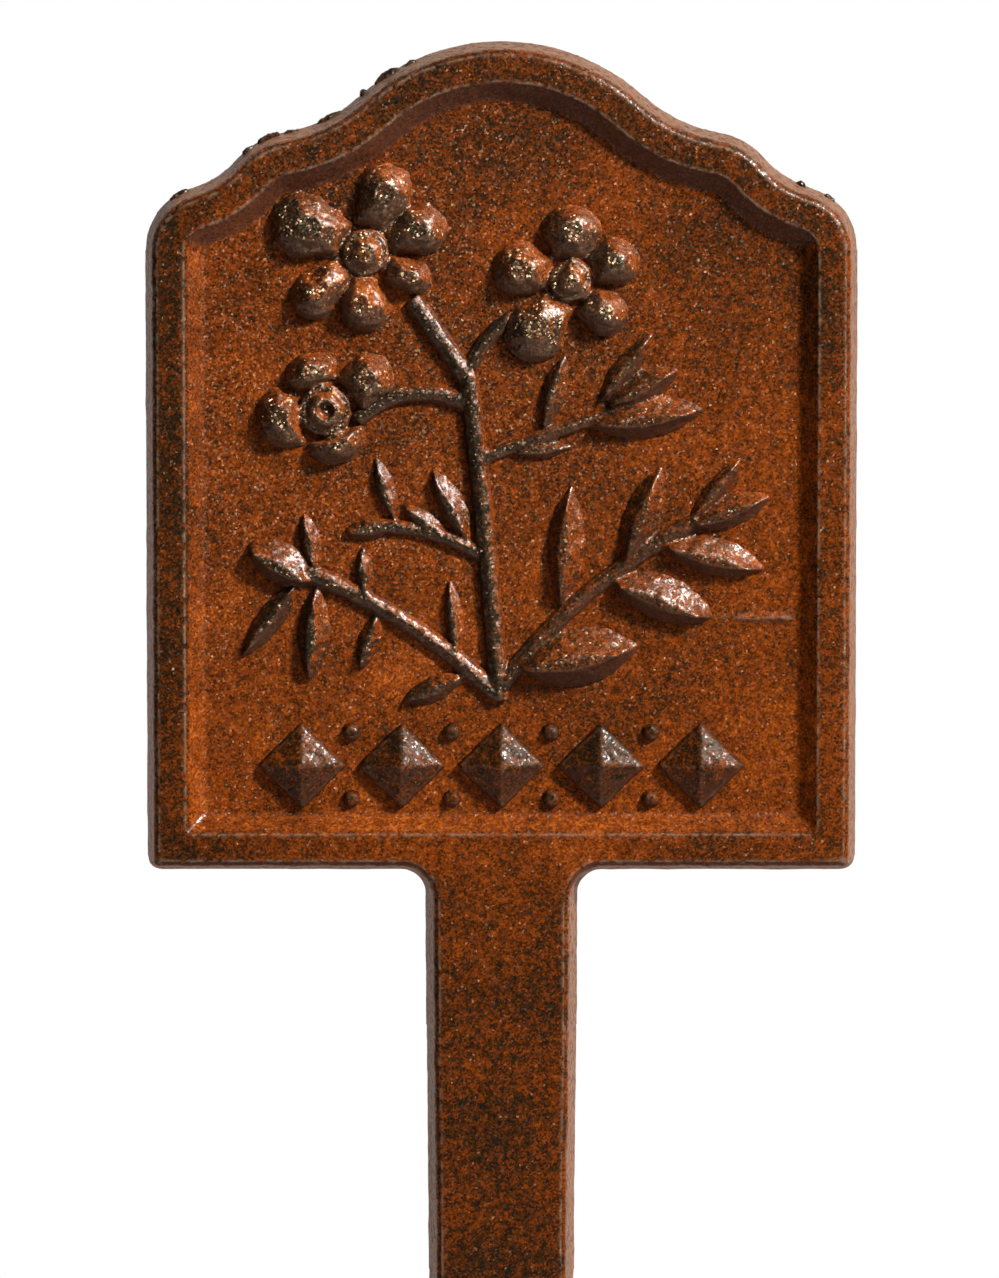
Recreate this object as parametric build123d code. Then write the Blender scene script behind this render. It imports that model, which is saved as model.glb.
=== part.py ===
from build123d import *
from math import degrees, radians, sin, tan
import os

# Garden herb marker in cast iron: a panel with an ogee top and a raised rim, a sunk field that carries
# a flowering sprig in relief over a band of lozenges, and a flat stake that is pushed into the soil.
# It is moulded from a pattern put together from the pieces below, each seated face to face on the next.
# Millimetres. The marker stands on +Z and faces -Y, with its flat back on the plane y = 0.
# The origin is the soil line, on the stake's centreline.

# Panel
PANEL_WIDTH = 75.0
PANEL_HEIGHT = 87.5
PANEL_THICKNESS = 4.0
EDGE_DRAFT = 10.0
BOTTOM_CORNER_RADIUS = 1.4
LEAST_RADIUS = 0.4

# Ogee top, arc by arc from the crown down to the corner; the crown's own radius follows from the width
CROWN_SWEEP = 42.0
UPPER_COVE_RADIUS = 15.6
UPPER_COVE_SWEEP = 32.5
SHOULDER_RADIUS = 8.4
SHOULDER_SWEEP = 39.5
LOWER_COVE_RADIUS = 10.0
LOWER_COVE_SWEEP = 33.0
CORNER_RADIUS = 6.8

# Rim, whose bevelled front edge runs on down the stake
RIM_HEIGHT = 1.8
RIM_FACE_WIDTH = 3.3
RIM_SLOPE_WIDTH = 1.9
FRONT_BEVEL = 0.5

# Stake
STAKE_WIDTH = 16.2
STAKE_END_WIDTH = 13.5
STAKE_ABOVE_SOIL = 55.0
STAKE_IN_SOIL = 118.0
NECK_RADIUS = 2.5
NECK_STRAIGHT = 3.5
POINT_LENGTH = 25.0
TIP_WIDTH = 3.0
TIP_THICKNESS = 3.0

# Sprig, laid out on a field of this size; each place is across and up from the field's bottom middle
DRAWN_FIELD_WIDTH = 62.6
DRAWN_FIELD_HEIGHT = 74.6
STEM_SIDES = 4
LEAF_RISE = 0.38
LEAF_CREST = 0.2
LEAF_CREST_SHIFT = 0.1
LEAF_SETBACK = 0.14
PETAL_HEIGHT = 2.4
PETAL_SHOULDER = 1.3
PETAL_SHOULDER_SHARE = 0.78
PETAL_TOP_SHARE = 0.36
LEFT_BUTTON_RADIUS = 1.5
RIGHT_BUTTON_RADIUS = 1.3
SIDE_BUTTON_RADIUS = 1.8
BUTTON_HEIGHT = 2.0
BUTTON_BEVEL = 0.5
DIMPLE_RADIUS = 0.9
DIMPLE_DEPTH = 0.7
CUP_WALL = 0.9
CUP_HEIGHT = 1.1

# Each stem: where it starts, passes and ends, and its radius at the start
MAIN_STEM = ((-0.2, 12.0), (-1.4, 26.4), (-3.5, 46.0), 1.15)
LEFT_STALK = ((-3.5, 45.4), (-6.2, 49.6), (-9.4, 54.0), 1.1)
RIGHT_STALK = ((-3.6, 45.6), (-2.1, 49.0), (1.6, 52.2), 0.9)
SIDE_STALK = ((-2.9, 42.6), (-8.6, 44.2), (-15.2, 41.3), 1.0)
UPPER_TWIG = ((-2.1, 37.3), (6.2, 40.3), (14.6, 43.0), 0.8)
MIDDLE_TWIG = ((-1.3, 26.8), (-7.5, 29.6), (-14.4, 30.2), 0.85)
LEFT_BRANCH = ((-0.2, 12.3), (-10.2, 20.3), (-21.6, 25.9), 1.05)
RIGHT_BRANCH = ((0.1, 13.6), (9.1, 23.3), (20.5, 30.8), 1.0)

# Each leaf: its base, its tip and its width
UPPER_LEAVES = [
    ((10.2, 43.0), (16.1, 50.7), 3.0),
    ((11.0, 42.8), (18.8, 46.9), 3.8),
    ((9.0, 40.9), (21.5, 42.6), 4.8),
    ((4.4, 40.2), (6.8, 48.5), 3.0),
    ((1.1, 38.0), (7.6, 38.7), 2.2),
]
MIDDLE_LEAVES = [
    ((-10.9, 30.6), (-13.2, 37.8), 2.5),
    ((-3.1, 28.6), (-7.3, 36.6), 3.2),
    ((-5.2, 29.0), (-10.5, 32.7), 2.3),
    ((-11.0, 30.2), (-16.7, 29.8), 2.5),
]
LEFT_LEAVES = [
    ((-19.3, 24.4), (-26.7, 28.5), 4.8),
    ((-19.3, 25.4), (-20.7, 32.0), 2.7),
    ((-14.1, 22.4), (-14.6, 28.3), 2.4),
    ((-4.4, 16.2), (-5.4, 24.9), 2.5),
    ((-20.8, 25.2), (-27.5, 16.3), 3.2),
    ((-19.3, 24.4), (-20.1, 13.8), 3.8),
    ((-12.8, 21.6), (-14.9, 15.0), 2.7),
    ((-3.4, 14.9), (-10.7, 11.8), 3.0),
]
RIGHT_LEAVES = [
    ((6.4, 21.6), (7.4, 34.8), 4.4),
    ((13.0, 26.0), (16.9, 36.7), 4.3),
    ((19.6, 30.3), (25.5, 37.8), 2.6),
    ((19.4, 30.2), (28.6, 33.6), 3.8),
    ((16.5, 28.7), (28.0, 25.8), 4.5),
    ((11.3, 25.1), (22.6, 20.7), 5.2),
    ((1.4, 15.6), (14.6, 17.8), 6.6),
]

# Middle of each flower, and each of its petals: bearing, reach, length outwards and width
LEFT_FLOWER = (-14.2, 58.8)
LEFT_PETALS = [
    (-140, 6.5, 6.4, 4.8), (-99, 5.3, 5.8, 7.6), (-28, 5.3, 4.8, 3.4),
    (24, 5.9, 6.4, 5.8), (70, 6.5, 6.4, 6.8), (157, 6.4, 8.8, 7.2),
]
RIGHT_FLOWER = (7.3, 55.9)
RIGHT_PETALS = [
    (-126, 6.1, 7.6, 6.6), (-43, 4.9, 5.2, 4.6), (23, 5.0, 5.2, 5.4),
    (89, 5.2, 5.6, 6.8), (168, 5.2, 6.6, 6.0),
]
SIDE_FLOWER = (-18.4, 42.4)
SIDE_PETALS = [(-171, 4.6, 5.8, 6.8), (-70, 3.6, 4.6, 6.4), (37, 5.5, 5.6, 5.4), (112, 4.3, 4.2, 6.2)]

# Band of lozenges below the sprig, with a bead in each notch between two of them
BAND_MIDDLE = 5.2
BAND_LENGTH = 51.4
LOZENGE_COUNT = 5
LOZENGE_WIDTH = 9.4
LOZENGE_HEIGHT = 9.2
LOZENGE_WALL = 0.9
LOZENGE_POINT = 1.5
LOZENGE_DRAFT = 15.0
BEAD_RADIUS = 1.1
BEAD_TOP_RADIUS = 0.6
BEAD_HEIGHT = 0.9
BEAD_SIDES = 8
BEAD_OFFSET = 3.5

# Places that follow from the sizes above
panel_bottom = STAKE_ABOVE_SOIL
panel_top = panel_bottom + PANEL_HEIGHT
neck_end = panel_bottom - NECK_RADIUS - NECK_STRAIGHT
point_start = POINT_LENGTH - STAKE_IN_SOIL
front = PANEL_THICKNESS + RIM_HEIGHT
edge_slope = tan(radians(EDGE_DRAFT))
rim_inset = front * edge_slope + RIM_FACE_WIDTH
field_inset = rim_inset + RIM_SLOPE_WIDTH
field_bottom = panel_bottom + field_inset
across = (PANEL_WIDTH - 2 * field_inset) / DRAWN_FIELD_WIDTH
upward = (PANEL_HEIGHT - 2 * field_inset) / DRAWN_FIELD_HEIGHT


def ogee_turns():
    """Each arc's radius at the panel's edge and its turn, below the crown; a cove turns the other way."""
    coves = UPPER_COVE_SWEEP + LOWER_COVE_SWEEP
    corner_sweep = 90 + coves - CROWN_SWEEP - SHOULDER_SWEEP
    return [
        (UPPER_COVE_RADIUS, UPPER_COVE_SWEEP),
        (SHOULDER_RADIUS, -SHOULDER_SWEEP),
        (LOWER_COVE_RADIUS, LOWER_COVE_SWEEP),
        (CORNER_RADIUS, -corner_sweep),
    ]


def crown_radius():
    """Radius that makes the chain of arcs reach half the panel's width."""
    heading = -CROWN_SWEEP
    reach = 0
    for radius, turn in ogee_turns():
        reach += radius * abs(sin(radians(heading + turn)) - sin(radians(heading)))
        heading += turn
    return (PANEL_WIDTH / 2 - reach) / sin(radians(CROWN_SWEEP))


def half_outline(inset, neck):
    """Right half of the panel's outline, moved inwards by inset, with or without the stake's neck."""
    pieces = []
    start = Vector(0, panel_top - inset)
    heading = Vector(1, 0)
    for radius, turn in [(crown_radius(), -CROWN_SWEEP)] + ogee_turns():
        inner_radius = radius + inset if turn > 0 else max(radius - inset, LEAST_RADIUS)
        arc = JernArc(start, heading, inner_radius, turn)
        pieces.append(arc)
        start = arc @ 1
        heading = arc % 1
    corner_radius = max(BOTTOM_CORNER_RADIUS - inset, LEAST_RADIUS)
    bottom = panel_bottom + inset
    side = Line(start, (start.X, bottom + corner_radius))
    corner = JernArc(side @ 1, (0, -1), corner_radius, -90)
    pieces += [side, corner]
    if neck:
        neck_radius = NECK_RADIUS + inset
        shoulder = Line(corner @ 1, (STAKE_WIDTH / 2 - inset + neck_radius, bottom))
        neck_arc = JernArc(shoulder @ 1, (-1, 0), neck_radius, 90)
        neck_side = Line(neck_arc @ 1, ((neck_arc @ 1).X, neck_end))
        pieces += [shoulder, neck_arc, neck_side, Line(neck_side @ 1, (0, neck_end))]
    else:
        pieces.append(Line(corner @ 1, (0, bottom)))
    return pieces


def outline(inset, height, neck=False):
    """Whole outline as a face at a height above the back."""
    half = Curve() + half_outline(inset, neck)
    return Pos(0, 0, height) * make_face(half + mirror(half, Plane.YZ))


def edge_outline(height):
    """Outline of the panel's drafted edge at a height above the back, with the neck."""
    return outline(height * edge_slope, height, neck=True)


def stake_section(place, width, thickness):
    """Drafted cross-section of the stake at a place along it, square to it, with bevelled front edges."""
    half_back = width / 2
    bevel_start = thickness - FRONT_BEVEL
    half_bevel = half_back - bevel_start * edge_slope
    half_front = half_back - thickness * edge_slope - FRONT_BEVEL
    right = [(half_back, 0), (half_bevel, bevel_start), (half_front, thickness)]
    left = [(-x, y) for x, y in reversed(right)]
    section = make_face(Polyline(*right, *left, close=True))
    return Plane(origin=(0, place, 0), x_dir=(1, 0, 0), z_dir=(0, -1, 0)) * section


def on_field(place):
    """A place of the sprig's layout, on the field of the panel."""
    return Vector(place[0] * across, field_bottom + place[1] * upward, PANEL_THICKNESS)


def stem(start, middle, end, radius):
    """Half-octagonal stem bent in one arc, turned about the arc's centre."""
    path = ThreePointArc(on_field(start), on_field(middle), on_field(end))
    ahead = path % 0
    square = Plane(origin=path @ 0, x_dir=Vector(0, 0, 1).cross(ahead), z_dir=ahead)
    corners = [Vector(radius, 0).rotate(Axis.Z, 180 * i / STEM_SIDES) for i in range(STEM_SIDES + 1)]
    section = square * make_face(Polyline(*corners, close=True))
    bend_axis = Axis(path.arc_center, (path @ 0 - path.arc_center).cross(ahead))
    return revolve(section, bend_axis, degrees(path.length / path.radius))


def lens(length, width):
    """Pointed oval along X, from the origin."""
    return make_face([
        SagittaArc((0, 0), (length, 0), width / 2),
        SagittaArc((length, 0), (0, 0), width / 2),
    ])


def leaf(base, tip, width):
    """Keeled leaf: a pointed oval on the field, drawn in to a narrow crest that lies down and to the left."""
    root = on_field(base)
    along = on_field(tip) - root
    lie = Plane(root, x_dir=along, z_dir=(0, 0, 1))
    setback = LEAF_SETBACK * along.length
    shift = LEAF_CREST_SHIFT * width
    midrib = lie * Pos(setback, 0, 0) * lens(along.length - 2 * setback, LEAF_CREST * width)
    crest = Pos(-shift, -shift, LEAF_RISE * width) * midrib
    return loft([lie * lens(along.length, width), crest], ruled=True)


def petal_outline(reach, length, width, cup_radius, turn_left, turn_right):
    """A petal seen from the front, along X about its middle: from the cup out to its round end."""
    inner = cup_radius - reach
    left = min(width / 2, reach * tan(radians(turn_left)))
    right = min(width / 2, reach * tan(radians(turn_right)))
    inner_left = min(left, cup_radius * tan(radians(turn_left)))
    inner_right = min(right, cup_radius * tan(radians(turn_right)))
    end = ThreePointArc((0, -right), (length / 2, 0), (0, left))
    return make_face([end, Polyline((0, left), (inner, inner_left), (inner, -inner_right), (0, -right))])


def petal(bearing, reach, *sizes):
    """Pillow-shaped petal, at its bearing and reach from the flower's middle."""
    base = petal_outline(reach, *sizes)
    shoulder = Pos(0, 0, PETAL_SHOULDER) * scale(base, PETAL_SHOULDER_SHARE)
    top = Pos(0, 0, PETAL_HEIGHT) * scale(base, PETAL_TOP_SHARE)
    return Rot(0, 0, bearing) * Pos(reach, 0, 0) * loft([base, shoulder, top], ruled=True)


def corolla(middle, cup_radius, petals):
    """Ring of petals round the cup, each with room up to half-way to the next one's bearing."""
    ring = []
    for i, (bearing, reach, length, width) in enumerate(petals):
        to_left = (petals[(i + 1) % len(petals)][0] - bearing) % 360 / 2
        to_right = (bearing - petals[i - 1][0]) % 360 / 2
        ring.append(petal(bearing, reach, length, width, cup_radius, to_left, to_right))
    return [Pos(on_field(middle)) * one for one in ring]


def button(middle, radius, dimpled):
    """Button of a flower on its low round cup, with a bevelled top, dished where it is dimpled."""
    cup = extrude(Circle(radius + CUP_WALL), CUP_HEIGHT)
    boss = extrude(Circle(radius), BUTTON_HEIGHT)
    boss = chamfer(boss.edges().group_by(Axis.Z)[-1], BUTTON_BEVEL)
    if dimpled:
        boss -= Pos(0, 0, BUTTON_HEIGHT) * Cylinder(DIMPLE_RADIUS, 2 * DIMPLE_DEPTH)
    return Pos(on_field(middle)) * (cup + boss)


def lozenge(place):
    """Diamond point with drafted walls, standing on the field."""
    draw = LOZENGE_WALL * tan(radians(LOZENGE_DRAFT))
    faces = []
    for height, shrink in [(0, 0), (LOZENGE_WALL, draw)]:
        half_width = LOZENGE_WIDTH / 2 - shrink
        half_height = LOZENGE_HEIGHT / 2 - shrink
        corners = [(half_width, 0), (0, half_height), (-half_width, 0), (0, -half_height)]
        faces.append(Pos(0, 0, height) * make_face(Polyline(*corners, close=True)))
    wall = loft(faces, ruled=True)
    point = loft([faces[1], Vertex(0, 0, LOZENGE_WALL + LOZENGE_POINT)], ruled=True)
    return Pos(on_field(place)) * (wall + point)


def bead(place):
    """Low stud standing on the field, cut with facets."""
    base = RegularPolygon(BEAD_RADIUS, BEAD_SIDES)
    top = Pos(0, 0, BEAD_HEIGHT) * RegularPolygon(BEAD_TOP_RADIUS, BEAD_SIDES)
    return Pos(on_field(place)) * loft([base, top], ruled=True)


def seat(piece):
    """Fit a relief piece against the rim and the relief already in place, keeping its main body."""
    box = piece.bounding_box(optimal=False)
    for neighbour in seated:
        if box.overlaps(neighbour.bounding_box(optimal=False)):
            piece = piece - neighbour
    body = max(piece.solids(), key=lambda solid: solid.volume)
    seated.append(body)
    return body


panel = loft([edge_outline(0), edge_outline(PANEL_THICKNESS)], ruled=True)

bevel_start = edge_outline(front - FRONT_BEVEL)
rim_front = outline(front * edge_slope + FRONT_BEVEL, front, neck=True)
rim_block = loft([edge_outline(PANEL_THICKNESS), bevel_start, rim_front], ruled=True)
recess = loft([outline(field_inset, PANEL_THICKNESS), outline(rim_inset, front)], ruled=True)
rim = rim_block - recess

stake = loft(
    [stake_section(neck_end, STAKE_WIDTH, front), stake_section(point_start, STAKE_END_WIDTH, front)],
    ruled=True,
)
stake_point = loft(
    [
        stake_section(point_start, STAKE_END_WIDTH, front),
        stake_section(-STAKE_IN_SOIL, TIP_WIDTH, TIP_THICKNESS),
    ],
    ruled=True,
)

nodes = {"panel": panel, "rim": rim, "stake": stake, "stake_point": stake_point}

# Sprig: what is seated first keeps its whole shape, and what comes later is fitted against it
seated = [rim]
nodes["main_stem"] = seat(stem(*MAIN_STEM))
for side, middle, button_radius, petals, stalk in [
    ("left", LEFT_FLOWER, LEFT_BUTTON_RADIUS, LEFT_PETALS, LEFT_STALK),
    ("right", RIGHT_FLOWER, RIGHT_BUTTON_RADIUS, RIGHT_PETALS, RIGHT_STALK),
    ("side", SIDE_FLOWER, SIDE_BUTTON_RADIUS, SIDE_PETALS, SIDE_STALK),
]:
    nodes[f"{side}_flower_button"] = seat(button(middle, button_radius, dimpled=side == "side"))
    ring = corolla(middle, button_radius + CUP_WALL, petals)
    nodes[f"{side}_corolla"] = Compound([seat(one) for one in ring])
    nodes[f"{side}_flower_stalk"] = seat(stem(*stalk))

for name, twig, leaves in [
    ("upper_twig", UPPER_TWIG, UPPER_LEAVES),
    ("middle_twig", MIDDLE_TWIG, MIDDLE_LEAVES),
    ("left_branch", LEFT_BRANCH, LEFT_LEAVES),
    ("right_branch", RIGHT_BRANCH, RIGHT_LEAVES),
]:
    nodes[name] = seat(stem(*twig))
    nodes[f"{name}_leaves"] = Compound([seat(leaf(*one)) for one in leaves])

# Band of lozenges and beads
pitch = (BAND_LENGTH - LOZENGE_WIDTH) / (LOZENGE_COUNT - 1)
first = -pitch * (LOZENGE_COUNT - 1) / 2
stations = [first + pitch * i for i in range(LOZENGE_COUNT)]
notches = [(station + pitch / 2, lift) for station in stations[:-1] for lift in (BEAD_OFFSET, -BEAD_OFFSET)]
nodes["band_lozenges"] = Compound([seat(lozenge((station, BAND_MIDDLE))) for station in stations])
nodes["band_beads"] = Compound([seat(bead((x, BAND_MIDDLE + lift))) for x, lift in notches])

os.makedirs("parts", exist_ok=True)
for name, shape in nodes.items():
    export_step(Location(Plane.XZ) * shape, f"parts/{name}.step")
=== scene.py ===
import bpy
import bmesh
import math
import numpy
from mathutils import Matrix, Vector
from mathutils.bvhtree import BVHTree


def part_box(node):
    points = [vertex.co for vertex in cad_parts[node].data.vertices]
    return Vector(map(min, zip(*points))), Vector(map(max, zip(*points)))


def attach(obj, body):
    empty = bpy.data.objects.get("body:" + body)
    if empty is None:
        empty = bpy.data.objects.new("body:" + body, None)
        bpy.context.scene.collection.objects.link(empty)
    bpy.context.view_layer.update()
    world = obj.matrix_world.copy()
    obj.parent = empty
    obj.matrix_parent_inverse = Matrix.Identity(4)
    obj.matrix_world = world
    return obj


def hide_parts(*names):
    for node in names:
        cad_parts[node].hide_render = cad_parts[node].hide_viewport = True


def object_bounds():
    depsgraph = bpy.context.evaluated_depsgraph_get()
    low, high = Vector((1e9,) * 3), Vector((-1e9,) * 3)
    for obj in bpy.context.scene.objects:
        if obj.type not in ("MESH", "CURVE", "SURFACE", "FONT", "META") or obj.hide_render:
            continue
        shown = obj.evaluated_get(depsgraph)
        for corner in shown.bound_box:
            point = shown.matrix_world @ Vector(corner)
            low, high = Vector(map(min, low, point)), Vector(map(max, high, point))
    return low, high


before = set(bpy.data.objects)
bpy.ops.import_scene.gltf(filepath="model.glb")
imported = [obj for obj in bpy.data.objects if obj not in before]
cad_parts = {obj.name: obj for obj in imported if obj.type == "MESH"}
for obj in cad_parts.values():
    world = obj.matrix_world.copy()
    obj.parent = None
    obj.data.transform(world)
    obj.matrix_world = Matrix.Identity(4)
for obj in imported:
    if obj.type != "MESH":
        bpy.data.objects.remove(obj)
cad_low, cad_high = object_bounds()


# The casting: panel, rim and stake are one pour of grey iron in a sand mould, so they run into each other
# with soft edges and a slow unevenness. It was let rust and then waxed: every grain of the sand shows,
# orange, brown or nearly black, and some of the grains shine.
MM = 0.001
CASTING_NODES = ("panel", "rim", "stake", "stake_point")
# The front looks towards -Y. The panel's node has the neck too, so its lower edge is found from the band.
BAND_ABOVE_EDGE = 6.9 * MM
field_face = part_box("panel")[0].y
rim_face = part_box("rim")[0].y
panel_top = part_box("panel")[1].z
panel_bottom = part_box("band_lozenges")[0].z - BAND_ABOVE_EDGE
# A crack in the sand left a thin vein on the field, from a leaf to the rim
VEIN_MIDDLE = Vector((27.0 * MM, field_face, panel_bottom + 27.1 * MM))
VEIN_HALF_SIZE = Vector((4.8, 0.32, 0.3)) * MM
WELD_DISTANCE = 0.001 * MM
SOFTENING_FACTOR = 0.5
SAND_DETAIL = 4
# How far a crest stands out of the points around it, as a share of the mesh's spacing
CREST_BULGE = 0.06


def copied(*names):
    """One mesh in the making, with a closed copy of each CAD node."""
    shape = bmesh.new()
    for name in names:
        earlier = set(shape.verts)
        shape.from_mesh(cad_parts[name].data)
        added = [point for point in shape.verts if point not in earlier]
        bmesh.ops.remove_doubles(shape, verts=added, dist=WELD_DISTANCE)
    return shape


def lump(shape, middle, half_size, slant=0):
    """A small rounded lump added to a mesh in the making, slanting up to the right by an angle."""
    turn = Matrix.Rotation(-slant, 4, "Y")
    place = Matrix.Translation(middle) @ turn @ Matrix.Diagonal(Vector(half_size).to_4d())
    bmesh.ops.create_icosphere(shape, subdivisions=2, radius=1, matrix=place)


def settled(piece):
    """Replace a piece's mesh by what its modifiers make of it."""
    made = piece.evaluated_get(bpy.context.evaluated_depsgraph_get())
    mesh = bpy.data.meshes.new_from_object(made)
    piece.modifiers.clear()
    piece.data = mesh
    return mesh


def mark_crests(mesh, bulge_of_crest):
    """Store how far each point stands out of its neighbours: 1 on a crest, 0 on a flat, -1 in a crease."""
    count = len(mesh.vertices)
    points = numpy.empty(3 * count)
    mesh.vertices.foreach_get("co", points)
    points = points.reshape(count, 3)
    normals = numpy.empty(3 * count)
    mesh.vertex_normals.foreach_get("vector", normals)
    ends = numpy.empty(2 * len(mesh.edges), dtype=numpy.int32)
    mesh.edges.foreach_get("vertices", ends)
    ends = ends.reshape(-1, 2)
    here = numpy.concatenate((ends[:, 0], ends[:, 1]))
    there = numpy.concatenate((ends[:, 1], ends[:, 0]))
    neighbours = numpy.bincount(here, minlength=count)
    around = [numpy.bincount(here, points[there, axis], count) / neighbours for axis in range(3)]
    bulge = ((points - numpy.stack(around, axis=1)) * normals.reshape(count, 3)).sum(axis=1)
    bulge = (bulge + numpy.bincount(here, bulge[there], count) / neighbours) / 2
    crest = mesh.attributes.new("crest", "FLOAT", "POINT")
    crest.data.foreach_set("value", numpy.clip(bulge / bulge_of_crest, -1, 1))


def sand_cast(name, shape, voxel, softening, unevenness, ripple, kept=1.0):
    """A mesh in the making as it comes out of the sand: one skin, soft edges and a slow unevenness."""
    mesh = bpy.data.meshes.new(name)
    shape.to_mesh(mesh)
    shape.free()
    piece = bpy.data.objects.new(name, mesh)
    bpy.context.scene.collection.objects.link(piece)
    skin = piece.modifiers.new("one_skin", "REMESH")
    skin.mode = "VOXEL"
    skin.voxel_size = voxel
    soften = piece.modifiers.new("soft_edges", "SMOOTH")
    soften.factor = SOFTENING_FACTOR
    soften.iterations = softening
    mark_crests(settled(piece), CREST_BULGE * voxel)
    sand = bpy.data.textures.new(name + "_sand", "CLOUDS")
    sand.noise_scale = ripple
    sand.noise_depth = SAND_DETAIL
    uneven = piece.modifiers.new("sand_unevenness", "DISPLACE")
    uneven.texture = sand
    uneven.texture_coords = "LOCAL"
    uneven.mid_level = 0.5
    uneven.strength = unevenness
    if kept < 1:
        thin = piece.modifiers.new("fewer_faces", "DECIMATE")
        thin.ratio = kept
    settled(piece).shade_smooth()
    return piece


def soft_step(tree, value, start, full):
    """Soft step of a value, from 0 at its start to 1 where it is full."""
    step = tree.nodes.new("ShaderNodeMapRange")
    step.interpolation_type = "SMOOTHSTEP"
    step.inputs["From Min"].default_value = start
    step.inputs["From Max"].default_value = full
    tree.links.new(value, step.inputs["Value"])
    return step.outputs["Result"]


def noise(tree, place, width, detail=3):
    """Noise whose patches are about this wide."""
    texture = tree.nodes.new("ShaderNodeTexNoise")
    texture.inputs["Scale"].default_value = 1 / width
    texture.inputs["Detail"].default_value = detail
    tree.links.new(place, texture.inputs["Vector"])
    return texture.outputs["Fac"]


def reckon(tree, operation, *values):
    """Arithmetic on values, each a socket or a number."""
    step = tree.nodes.new("ShaderNodeMath")
    step.operation = operation
    for socket, value in zip(step.inputs, values):
        if isinstance(value, (int, float)):
            socket.default_value = value
        else:
            tree.links.new(value, socket)
    return step.outputs["Value"]


def swayed(tree, level, value, width):
    """A level swayed up and down, over this width, by a value between 0 and 1."""
    return reckon(tree, "MULTIPLY_ADD", value, width, reckon(tree, "ADD", level, -width / 2))


def lessened(tree, value, loss, share):
    """A value that loses up to this share of itself where there is a loss."""
    return reckon(tree, "MULTIPLY", value, reckon(tree, "MULTIPLY_ADD", loss, -share, 1))


def steer(tree, operation, *values):
    """Arithmetic on vectors, each a socket or three numbers."""
    step = tree.nodes.new("ShaderNodeVectorMath")
    step.operation = operation
    for socket, value in zip(step.inputs, values):
        if isinstance(value, tuple):
            socket.default_value = value
        else:
            tree.links.new(value, socket)
    return step


def blend(tree, share, first, second):
    """Colour between two colours, each a socket or a value."""
    mix = tree.nodes.new("ShaderNodeMix")
    mix.data_type = "RGBA"
    tree.links.new(share, mix.inputs["Factor"])
    for socket, colour in ((mix.inputs["A"], first), (mix.inputs["B"], second)):
        if isinstance(colour, tuple):
            socket.default_value = colour
        else:
            tree.links.new(colour, socket)
    return mix.outputs["Result"]


# The finish of all the iron is one group. Its inputs say how bare of rust a piece is, how far it is rubbed in
# front, how much painted shade blackens its sides turned away from the light (most on the left), how worn its
# crests are, how much painted light makes its rust more orange towards the light, how much pale dust and
# painted pale reflection its steep sides get, how waxed it is, and how much its grains lean.
USUAL_FINISH = {
    "bare": 0, "rubbed": 0, "handled": 0, "worn": 0.25,
    "fresh": 0, "dust": 0, "wax": 0, "grain": 1,
}
patina = bpy.data.node_groups.new("rust_patina", "ShaderNodeTree")
for share in USUAL_FINISH:
    patina.interface.new_socket(name=share, in_out="INPUT", socket_type="NodeSocketFloat")
for name, kind in (("Color", "Color"), ("Roughness", "Float"), ("Coat", "Float"), ("Normal", "Vector")):
    patina.interface.new_socket(name=name, in_out="OUTPUT", socket_type="NodeSocket" + kind)
given = patina.nodes.new("NodeGroupInput").outputs
result = patina.nodes.new("NodeGroupOutput").inputs
place = patina.nodes.new("ShaderNodeTexCoord").outputs["Object"]
axes = patina.nodes.new("ShaderNodeSeparateXYZ")
patina.links.new(place, axes.inputs["Vector"])
facing = patina.nodes.new("ShaderNodeSeparateXYZ")
patina.links.new(patina.nodes.new("ShaderNodeNewGeometry").outputs["Normal"], facing.inputs["Vector"])

# Each grain of sand draws three lots: red for its colour, green for its roughness, blue for its shine
GRAIN_SIZE = 0.2 * MM
grains = patina.nodes.new("ShaderNodeTexVoronoi")
grains.inputs["Scale"].default_value = 1 / GRAIN_SIZE
patina.links.new(place, grains.inputs["Vector"])
lot = patina.nodes.new("ShaderNodeSeparateColor")
patina.links.new(grains.outputs["Color"], lot.inputs["Color"])

# Where a surface is turned to: the light at the upper right, down, or aside as a steep side is
TURNED_TO_LIGHT = (0.2, 0.6)
TURNED_DOWN = (-0.15, -0.5)
TURNED_ASIDE = (0.5, 0.15)
lit = reckon(patina, "ADD", facing.outputs["X"], facing.outputs["Z"])
lit = soft_step(patina, lit, *TURNED_TO_LIGHT)
under = soft_step(patina, facing.outputs["Z"], *TURNED_DOWN)
steep = soft_step(patina, reckon(patina, "ABSOLUTE", facing.outputs["Y"]), *TURNED_ASIDE)
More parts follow.
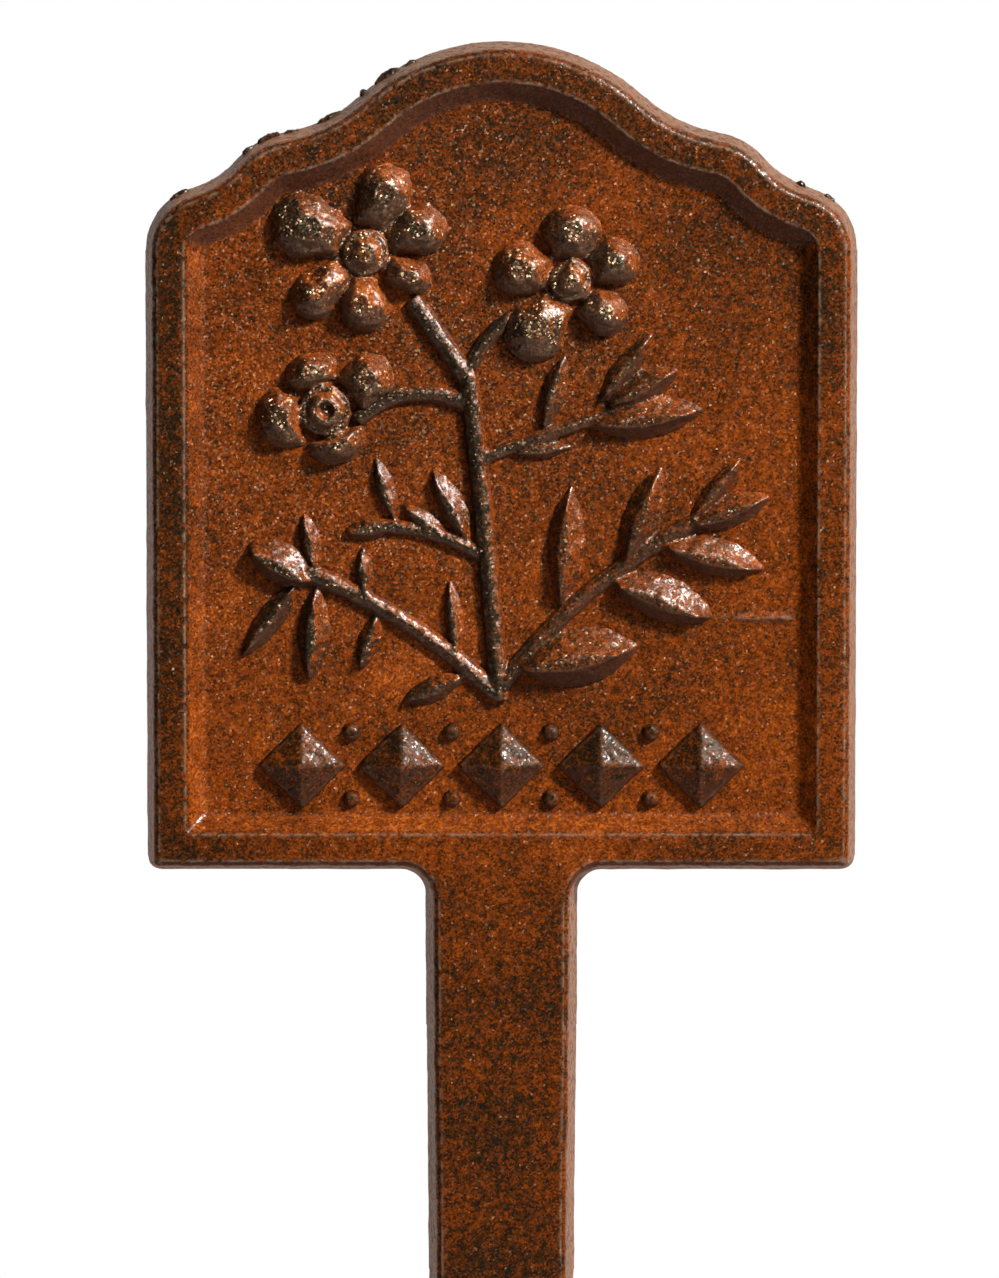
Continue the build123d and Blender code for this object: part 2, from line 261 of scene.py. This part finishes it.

# Rust cover, from 0 for black iron to 1 for bright orange rust. It goes by grain, mottle and broad patches.
# There is less where the rim is rubbed, most of all on its left, towards the crown and on the blade. Painted
# shade lowers it on sides turned away from the light, most on the left, and painted light raises it on sides
# turned to the light.
GRAIN_SPREAD = 0.42
MOTTLE_SIZE = 1.0 * MM
PATCH_SIZE = 10 * MM
PATCH_DETAIL = 4
PATCH_SPREAD = 0.6
RUBBED_HEIGHT = (rim_face + 0.45 * MM, rim_face + 0.2 * MM)
RUBBED_LEFT = (-24 * MM, -36 * MM)
RUBBED_SHARE_ON_RIGHT = 0.4
CROWN_HEIGHT = (panel_bottom + 8 * MM, panel_top)
CROWN_LOSS = 0.10
BLADE_HEIGHT = (panel_bottom + 2 * MM, panel_bottom - 4 * MM)
BLADE_LOSS = 0.09
SHADE_AWAY_LEFT = (8 * MM, -4 * MM)
RUST_STEPS = (
    (0.15, (0.011, 0.008, 0.004, 1)), (0.36, (0.056, 0.015, 0.002, 1)),
    (0.52, (0.155, 0.029, 0.002, 1)), (0.72, (0.270, 0.050, 0.003, 1)),
    (0.95, (0.500, 0.115, 0.012, 1)),
)
cover = swayed(patina, 0.5, lot.outputs["Red"], GRAIN_SPREAD)
cover = swayed(patina, cover, noise(patina, place, MOTTLE_SIZE), PATCH_SPREAD)
cover = swayed(patina, cover, noise(patina, place, PATCH_SIZE, PATCH_DETAIL), PATCH_SPREAD)
rubbed = soft_step(patina, axes.outputs["X"], *RUBBED_LEFT)
rubbed = reckon(patina, "MULTIPLY_ADD", rubbed, 1 - RUBBED_SHARE_ON_RIGHT, RUBBED_SHARE_ON_RIGHT)
rubbed = reckon(patina, "MULTIPLY", soft_step(patina, axes.outputs["Y"], *RUBBED_HEIGHT), rubbed)
rubbed = reckon(patina, "MULTIPLY", rubbed, given["rubbed"])
cover = reckon(patina, "SUBTRACT", cover, rubbed)
crown = soft_step(patina, axes.outputs["Z"], *CROWN_HEIGHT)
cover = reckon(patina, "MULTIPLY_ADD", crown, -CROWN_LOSS, cover)
blade = soft_step(patina, axes.outputs["Z"], *BLADE_HEIGHT)
cover = reckon(patina, "MULTIPLY_ADD", blade, -BLADE_LOSS, cover)
cover = reckon(patina, "SUBTRACT", cover, given["bare"])
# Painted shade: sides turned away from the light are darkened, most of all on the left.
handled = soft_step(patina, axes.outputs["X"], *SHADE_AWAY_LEFT)
handled = reckon(patina, "MULTIPLY", handled, given["handled"])
cover = reckon(patina, "SUBTRACT", cover, lessened(patina, handled, lit, 1))
# Painted light: sides turned to the light get a higher, more orange cover.
cover = reckon(patina, "MULTIPLY_ADD", lit, given["fresh"], cover)
rust = patina.nodes.new("ShaderNodeValToRGB")
stops = rust.color_ramp.elements
while len(stops) < len(RUST_STEPS):
    stops.new(1)
for stop, (position, colour) in zip(stops, RUST_STEPS):
    stop.position = position
    stop.color = colour
patina.links.new(cover, rust.inputs["Fac"])

# Undersides are painted dark as shade, crests are worn pale, and steep sides get pale dust from the mould's
# wash together with a painted pale reflection
UNDERSIDE_SHADE = (0.075, 0.025, 0.013, 1)
UNDERSIDE_SHADE_SHARE = 0.8
WORN_CREST = (0.24, 0.14, 0.085, 1)
CREST_HEIGHT = (0.25, 1)
WEAR_SIZE = 0.8 * MM
WEAR_PATCHES = (0.35, 0.6)
EDGE_DUST_AND_SHEEN = (0.32, 0.165, 0.09, 1)
DUST_SIZE = 0.6 * MM
DUST_PATCHES = (0.3, 0.6)
# Painted shade: faces turned down are darkened towards a dull maroon.
shaded_below = blend(patina, reckon(patina, "MULTIPLY", under, UNDERSIDE_SHADE_SHARE), rust.outputs["Color"], UNDERSIDE_SHADE)
edge = patina.nodes.new("ShaderNodeAttribute")
edge.attribute_name = "crest"
crest = soft_step(patina, edge.outputs["Fac"], *CREST_HEIGHT)
wear = soft_step(patina, noise(patina, place, WEAR_SIZE), *WEAR_PATCHES)
crest = reckon(patina, "MULTIPLY", crest, wear)
worn = blend(patina, reckon(patina, "MULTIPLY", crest, given["worn"]), shaded_below, WORN_CREST)
# Pale dust in patches on the steep sides, standing in partly for a painted pale reflection of the backdrop.
dusty = soft_step(patina, noise(patina, place, DUST_SIZE), *DUST_PATCHES)
dusty = reckon(patina, "MULTIPLY", steep, dusty)
dusty = reckon(patina, "MULTIPLY", dusty, given["dust"])
patina.links.new(blend(patina, dusty, worn, EDGE_DUST_AND_SHEEN), result["Color"])

# Wax: some grains shine, more of them around one spot that got the most, and fewer on steep sides and below
WAXED_SPOT = (-20 * MM, field_face, panel_bottom + 52 * MM)
WAXED_REACH = 60 * MM
WAX_RUBBED_OFF = 4
SPOT_SHINE = 0.4
SHINING_LOTS = (0.72, 0.95)
UNDERSIDE_DULLING = 0.7
SPOT_COAT_LOSS = 0.6
LEAST_COAT = 0.05
from_spot = steer(patina, "DISTANCE", place, WAXED_SPOT).outputs["Value"]
waxed = lessened(patina, soft_step(patina, from_spot, WAXED_REACH, 0), rubbed, WAX_RUBBED_OFF)
shine = reckon(patina, "MULTIPLY_ADD", waxed, SPOT_SHINE, lot.outputs["Blue"])
shine = soft_step(patina, reckon(patina, "ADD", shine, given["wax"]), *SHINING_LOTS)
shine = lessened(patina, shine, steep, 1)
shine = lessened(patina, shine, under, UNDERSIDE_DULLING)
coat = lessened(patina, shine, waxed, SPOT_COAT_LOSS)
patina.links.new(reckon(patina, "MULTIPLY_ADD", coat, 1 - LEAST_COAT, LEAST_COAT), result["Coat"])

# Roughness of the rust below the wax
LEAST_ROUGHNESS = 0.36
GRAIN_ROUGHNESS = 0.15
SHINING_ROUGHNESS = -0.14
STEEP_ROUGHNESS = 0.08
UNDERSIDE_ROUGHNESS = 0.2
rough = reckon(patina, "MULTIPLY_ADD", lot.outputs["Green"], GRAIN_ROUGHNESS, LEAST_ROUGHNESS)
rough = reckon(patina, "MULTIPLY_ADD", shine, SHINING_ROUGHNESS, rough)
rough = reckon(patina, "MULTIPLY_ADD", steep, STEEP_ROUGHNESS, rough)
rough = reckon(patina, "MULTIPLY_ADD", under, UNDERSIDE_ROUGHNESS, rough)
patina.links.new(rough, result["Roughness"])

# The surface is lumpy, and each grain leans its own way, though on the whole towards the light
LUMP_SIZE = 0.8 * MM
LUMP_HEIGHT = 0.06 * MM
EVEN_LEAN = (0.36, 0.5, 0.36)
LEAST_LEAN = 0.25
SPOT_LEAN = 0.35
SHINING_LEAN = 0.45
lumps = patina.nodes.new("ShaderNodeBump")
lumps.inputs["Strength"].default_value = 1
lumps.inputs["Distance"].default_value = LUMP_HEIGHT
patina.links.new(noise(patina, place, LUMP_SIZE), lumps.inputs["Height"])
toss = patina.nodes.new("ShaderNodeTexWhiteNoise")
patina.links.new(grains.outputs["Position"], toss.inputs["Vector"])
lean = steer(patina, "SUBTRACT", toss.outputs["Color"], EVEN_LEAN)
lean = steer(patina, "SCALE", lean.outputs["Vector"])
most_lean = reckon(patina, "MULTIPLY_ADD", waxed, SPOT_LEAN, LEAST_LEAN)
most_lean = reckon(patina, "MULTIPLY_ADD", shine, SHINING_LEAN, most_lean)
patina.links.new(reckon(patina, "MULTIPLY", most_lean, given["grain"]), lean.inputs["Scale"])
leaning = steer(patina, "ADD", lumps.outputs["Normal"], lean.outputs["Vector"])
leaning = steer(patina, "NORMALIZE", leaning.outputs["Vector"])
patina.links.new(leaning.outputs["Vector"], result["Normal"])

WAX_TINT = (1, 0.72, 0.42, 1)
WAX_ROUGHNESS = 0.3


def iron(name, glitter=0.06, **own_finish):
    """Rusted iron with a finish of its own; glitter is how strongly its leaning grains shine."""
    material = bpy.data.materials.new(name)
    material.use_nodes = True
    tree = material.node_tree
    finish = tree.nodes.new("ShaderNodeGroup")
    finish.node_tree = patina
    for share, amount in (USUAL_FINISH | own_finish).items():
        finish.inputs[share].default_value = amount
    shader = tree.nodes["Principled BSDF"]
    shader.inputs["Coat Roughness"].default_value = WAX_ROUGHNESS
    shader.inputs["Specular IOR Level"].default_value = glitter
    shader.inputs["Specular Tint"].default_value = WAX_TINT
    tree.links.new(finish.outputs["Color"], shader.inputs["Base Color"])
    tree.links.new(finish.outputs["Roughness"], shader.inputs["Roughness"])
    tree.links.new(finish.outputs["Coat"], shader.inputs["Coat Weight"])
    tree.links.new(finish.outputs["Normal"], shader.inputs["Normal"])
    return material


def finished(piece, material, slot, *nodes):
    """Give a piece its finish and let it stand for its CAD nodes."""
    piece.data.materials.clear()
    piece.data.materials.append(material)
    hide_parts(*nodes)
    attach(piece, "root")


casting_shape = copied(*CASTING_NODES)
bare_skin = BVHTree.FromBMesh(casting_shape)
lump(casting_shape, VEIN_MIDDLE, VEIN_HALF_SIZE)
casting = sand_cast(
    "casting", casting_shape, voxel=0.25 * MM, softening=1,
    unevenness=0.2 * MM, ripple=3.2 * MM, kept=0.27,
)
# Painted light makes the casting's slopes turned to the light a little more orange; its steep sides get pale
# dust together with a painted pale reflection.
rusted_iron = iron("rusted_iron", bare=-0.07, rubbed=0.22, worn=0.85, fresh=0.05, dust=1)
finished(casting, rusted_iron, "rusted_iron", *CASTING_NODES)


# The fins: scraps of iron that ran into the joint between the mould's halves. They were left on the top edge,
# close to the back, and are black and brittle.
# Each fin: across from the middle, its width and how far it stands out
FINS = (
    (-33.8, 2.4, 0.4), (-26.6, 1.6, 0.4), (-24.4, 2.8, 0.5), (-22.0, 1.8, 0.35), (-18.1, 3.2, 0.45),
    (-14.4, 1.0, 0.5), (-12.0, 3.2, 0.6), (-9.6, 1.6, 0.3), (31.4, 1.2, 0.5), (34.4, 1.4, 0.35),
)
FIN_DEPTH = -1.3 * MM
FIN_HALF_THICKNESS = 0.45 * MM
DOWN = Vector((0, 0, -1))
fin_shape = bmesh.new()
for across, width, height in FINS:
    feet = []
    for reach in (-FIN_HALF_THICKNESS, FIN_HALF_THICKNESS):
        above = Vector((across * MM + reach, FIN_DEPTH, panel_top + MM))
        feet.append(bare_skin.ray_cast(above, DOWN)[0])
    left_foot, right_foot = feet
    slant = math.atan2(right_foot.z - left_foot.z, right_foot.x - left_foot.x)
    half_size = (width / 2 * MM, FIN_HALF_THICKNESS, height * MM)
    lump(fin_shape, (left_foot + right_foot) / 2, half_size, slant)
fins = sand_cast("fins", fin_shape, voxel=0.12 * MM, softening=1, unevenness=0.35 * MM, ripple=0.6 * MM)
finished(fins, iron("black_iron", bare=0.3), "rusted_iron")


# The sprig: stems and leaves stand out of the field in relief. They were carved on the pattern and come out
# of the mould with the panel, so each one runs into the field. Their sides turned away from the light are
# painted black as shade, most of all on the left; the others are painted more orange as lit, and waxed.
SPRIG_NODES = (
    "main_stem", "left_flower_stalk", "right_flower_stalk", "side_flower_stalk",
    "upper_twig", "upper_twig_leaves", "middle_twig", "middle_twig_leaves",
    "left_branch", "left_branch_leaves", "right_branch", "right_branch_leaves",
)
RELIEF_VOXEL = 0.2 * MM
SLAB_DEPTH = 1.2 * MM
SLAB_MARGIN = 2 * MM
CUT_ABOVE_FIELD = 0.21 * MM
FOOT_DEPTH = 0.4 * MM


def relief(name, nodes, softening, unevenness=0.3 * MM, ripple=1.2 * MM):
    """Relief from copies of CAD nodes, softened with a slab of the field and cut off just above it."""
    shape = copied(*nodes)
    corners = [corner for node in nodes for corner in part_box(node)]
    low = Vector((min(c.x for c in corners), field_face, min(c.z for c in corners)))
    high = Vector((max(c.x for c in corners), field_face + SLAB_DEPTH, max(c.z for c in corners)))
    size = high - low + 2 * Vector((SLAB_MARGIN, 0, SLAB_MARGIN))
    slab = Matrix.Translation((low + high) / 2) @ Matrix.Diagonal(size.to_4d())
    bmesh.ops.create_cube(shape, size=1, matrix=slab)
    piece = sand_cast(name, shape, RELIEF_VOXEL, softening, unevenness, ripple)
    cut = bmesh.new()
    cut.from_mesh(piece.data)
    bmesh.ops.bisect_plane(
        cut, geom=cut.verts[:] + cut.edges[:] + cut.faces[:], dist=WELD_DISTANCE,
        plane_co=(0, field_face - CUT_ABOVE_FIELD, 0), plane_no=(0, 1, 0), clear_outer=True,
    )
    cut_edges = [edge for edge in cut.edges if edge.is_boundary]
    foot = bmesh.ops.extrude_edge_only(cut, edges=cut_edges)["geom"]
    foot_points = [part for part in foot if isinstance(part, bmesh.types.BMVert)]
    bmesh.ops.translate(cut, verts=foot_points, vec=(0, FOOT_DEPTH, 0))
    foot_edges = [edge for edge in cut.edges if edge.is_boundary]
    bmesh.ops.holes_fill(cut, edges=foot_edges, sides=0)
    bmesh.ops.recalc_face_normals(cut, faces=cut.faces[:])
    cut.to_mesh(piece.data)
    cut.free()
    piece.data.shade_smooth()
    return piece


rubbed_relief = iron(
    "rubbed_relief", glitter=0.16, bare=0.1, handled=0.2, fresh=0.2, wax=0.12, worn=0.12,
)
finished(relief("sprig", SPRIG_NODES, softening=3), rubbed_relief, "rubbed_relief", *SPRIG_NODES)


# The flowers: three open heads of pillow-shaped petals round a button. They were carved and moulded like the
# sprig and stand out the most, so they hold the most wax: their grains glitter. Their sides turned away from
# the light are painted dark as shade, and the sides turned to it are painted a lighter orange as lit.
waxed_flowers = iron(
    "waxed_flowers", glitter=0.48, bare=0.16, fresh=0.38, wax=0.16, worn=0.2, grain=1.3,
)
for side in ("left", "right", "side"):
    nodes = (f"{side}_corolla", f"{side}_flower_button")
    flower = relief(f"{side}_flower", nodes, softening=10, unevenness=0.5 * MM, ripple=1.5 * MM)
    finished(flower, waxed_flowers, "rubbed_relief", *nodes)


# The band below the sprig: a row of diamond points with a bead in each notch. They were moulded with the
# panel, and are rubbed nearly black and hold little wax.
# Painted light makes the band's sides turned to the light a little more orange.
dark_band = iron("dark_band", bare=0.2, fresh=0.08, worn=0.2, wax=-0.12)
for name, node in (("lozenges", "band_lozenges"), ("beads", "band_beads")):
    finished(relief(name, (node,), softening=4), dark_band, "rubbed_relief", node)


# The floor: a pale sheet just under the stake's tip, which carries nothing. It is plain white to the camera
# and in reflections, as the photograph's background is.
FLOOR_REACH = 350 * MM
FLOOR_BELOW_TIP = 0.5 * MM
FLOOR_GREY = (0.8, 0.8, 0.8, 1)
FLOOR_ROUGHNESS = 0.9
WHITE = (1, 1, 1, 1)
floor_mesh = bpy.data.meshes.new("floor")
floor_shape = bmesh.new()
bmesh.ops.create_grid(
    floor_shape, x_segments=1, y_segments=1, size=FLOOR_REACH,
    matrix=Matrix.Translation((0, 0, cad_low.z - FLOOR_BELOW_TIP)),
)
floor_shape.to_mesh(floor_mesh)
floor_shape.free()
floor = bpy.data.objects.new("floor", floor_mesh)
bpy.context.scene.collection.objects.link(floor)
pale = bpy.data.materials.new("pale_floor")
pale.use_nodes = True
tree = pale.node_tree
pale_shader = tree.nodes["Principled BSDF"]
pale_shader.inputs["Base Color"].default_value = FLOOR_GREY
pale_shader.inputs["Roughness"].default_value = FLOOR_ROUGHNESS
rays = tree.nodes.new("ShaderNodeLightPath")
seen = reckon(tree, "MAXIMUM", rays.outputs["Is Camera Ray"], rays.outputs["Is Glossy Ray"])
seen = reckon(tree, "MAXIMUM", seen, rays.outputs["Is Transmission Ray"])
white = tree.nodes.new("ShaderNodeEmission")
white.inputs["Color"].default_value = WHITE
pick = tree.nodes.new("ShaderNodeMixShader")
tree.links.new(seen, pick.inputs["Fac"])
tree.links.new(pale_shader.outputs[0], pick.inputs[1])
tree.links.new(white.outputs[0], pick.inputs[2])
tree.links.new(pick.outputs[0], tree.nodes["Material Output"].inputs["Surface"])
floor_mesh.materials.append(pale)


# The sky: plain white to the camera, and an even light on the piece. Reflections find it pale behind the
# panel and dim in front, as in a room with a pale wall behind the piece.
SKY_LIGHT = 0.17
DIM_ROOM = 0.03
PALE_WALL = 1
WALL_FROM_ROOM = (-0.1, 0.4)
sky = bpy.data.worlds.new("sky")
sky.use_nodes = True
tree = sky.node_tree
background = tree.nodes["Background"]
background.inputs["Color"].default_value = WHITE
heading = tree.nodes.new("ShaderNodeSeparateXYZ")
tree.links.new(tree.nodes.new("ShaderNodeTexCoord").outputs["Generated"], heading.inputs["Vector"])
wall = soft_step(tree, heading.outputs["Y"], *WALL_FROM_ROOM)
wall = reckon(tree, "MULTIPLY_ADD", wall, PALE_WALL - DIM_ROOM, DIM_ROOM)
rays = tree.nodes.new("ShaderNodeLightPath")
mirrored = reckon(tree, "SUBTRACT", wall, SKY_LIGHT)
level = reckon(tree, "MULTIPLY_ADD", rays.outputs["Is Glossy Ray"], mirrored, SKY_LIGHT)
seen = reckon(tree, "MAXIMUM", rays.outputs["Is Camera Ray"], rays.outputs["Is Transmission Ray"])
level = reckon(tree, "MULTIPLY_ADD", seen, reckon(tree, "SUBTRACT", 1, level), level)
tree.links.new(level, background.inputs["Strength"])
bpy.context.scene.world = sky


# The lamps: a small hard one to the upper right of the panel casts the shadows. A broad one at the same
# place and a low one in front, like a pale table, are seen in the shine alone.
LAMPS_AIM_BELOW_TOP = 45 * MM
KEY_PLACE = (0.50, -0.42, 0.46)
TABLE_PLACE = (-0.1, -0.22, -0.5)
panel_middle = Vector((0, field_face, panel_top - LAMPS_AIM_BELOW_TOP))


def soft_box(name, place, size, power, lights=True):
    """Square lamp turned towards the panel; one that doesn't light it is only seen in its shine."""
    light = bpy.data.lights.new(name, "AREA")
    light.size = size
    light.energy = power
    lamp = bpy.data.objects.new(name, light)
    lamp.location = panel_middle + Vector(place)
    lamp.rotation_euler = (-Vector(place)).to_track_quat("-Z", "Y").to_euler()
    lamp.visible_camera = False
    lamp.visible_diffuse = lights
    bpy.context.scene.collection.objects.link(lamp)


soft_box("key", KEY_PLACE, size=0.1, power=8.4)
soft_box("glint", KEY_PLACE, size=0.45, power=19, lights=False)
soft_box("table", TABLE_PLACE, size=0.5, power=3.2, lights=False)


# The camera: straight on and slightly from above, as close as the photograph, so the stake runs out below.
FRAME_HEIGHT = 134.4 * MM
DISTANCE = 700 * MM
RISE = math.radians(4.5)
SENSOR = 36
AIM_ACROSS = -0.2 * MM
AIM_BELOW_TOP = 62.7 * MM
camera_data = bpy.data.cameras.new("camera")
camera_data.sensor_fit = "VERTICAL"
camera_data.sensor_width = SENSOR
camera_data.sensor_height = SENSOR
camera_data.lens = SENSOR * DISTANCE / FRAME_HEIGHT
camera_data.clip_end = 20
camera = bpy.data.objects.new("camera", camera_data)
aim = Vector((AIM_ACROSS, field_face, panel_top - AIM_BELOW_TOP))
back = Vector((0, -math.cos(RISE), math.sin(RISE)))
camera.location = aim + back * DISTANCE
camera.rotation_euler = (-back).to_track_quat("-Z", "Y").to_euler()
bpy.context.scene.collection.objects.link(camera)
bpy.context.scene.camera = camera
bpy.context.scene.view_settings.view_transform = "Standard"
